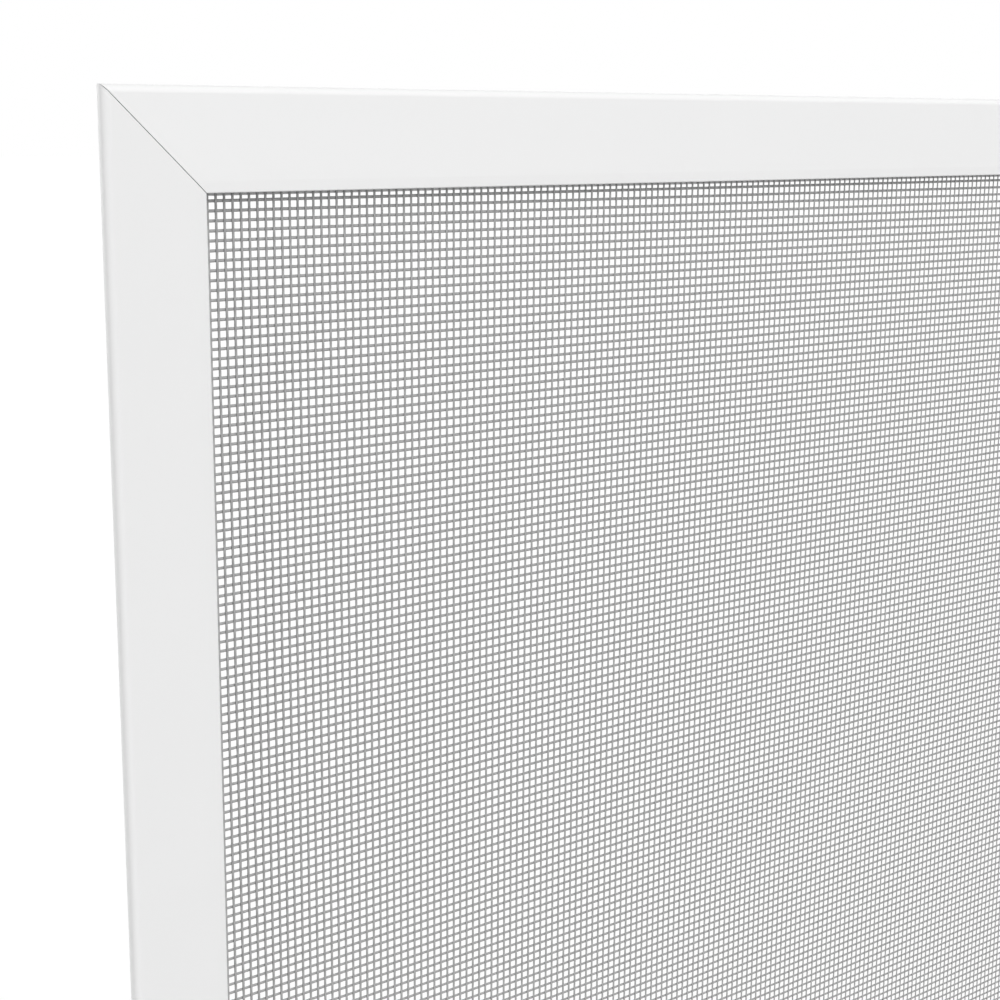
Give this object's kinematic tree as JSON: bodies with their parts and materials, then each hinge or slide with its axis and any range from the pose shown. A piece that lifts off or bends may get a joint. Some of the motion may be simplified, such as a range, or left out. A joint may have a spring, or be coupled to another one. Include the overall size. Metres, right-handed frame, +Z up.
{
  "type": "window insect screen",
  "caption": "Slim rectangular aluminium frame with mitred corners, tensioned woven insect mesh, brush seal and rear hooks that grip a window frame.",
  "frame": {"origin": "middle of the bottom of the bounding box", "axes": "+X right seen from outside, +Y back into the room, +Z up along the frame's height"},
  "size_m": [0.6, 0.0232, 0.8],
  "materials": {
    "frame": "satin powder coat",
    "mesh": "coated glass-fibre thread",
    "cord": "ribbed soft plastic",
    "brush": "pile",
    "key": "moulded",
    "hook": "rolled sheet",
    "screw": "turned and tumbled"
  },
  "bodies": {
    "root": {"insect_mesh": "mesh", "frame_left": "frame", "frame_top": "frame", "frame_right": "frame", "frame_bottom": "frame", "retaining_cord_left": "cord", "retaining_cord_top": "cord", "retaining_cord_right": "cord", "retaining_cord_bottom": "cord", "brush_seal_left": "brush", "brush_seal_top": "brush", "brush_seal_right": "brush", "brush_seal_bottom": "brush", "corner_key_bottom_left": "key", "corner_key_top_left": "key", "corner_key_top_right": "key", "corner_key_bottom_right": "key", "hook_top_left": "hook", "hook_top_right": "hook", "hook_bottom_left": "hook", "hook_bottom_right": "hook", "hook_screw_top_left_1": "screw", "hook_screw_top_left_2": "screw", "hook_screw_top_right_1": "screw", "hook_screw_top_right_2": "screw", "hook_screw_bottom_left_1": "screw", "hook_screw_bottom_left_2": "screw", "hook_screw_bottom_right_1": "screw", "hook_screw_bottom_right_2": "screw"}
  },
  "joints": []
}
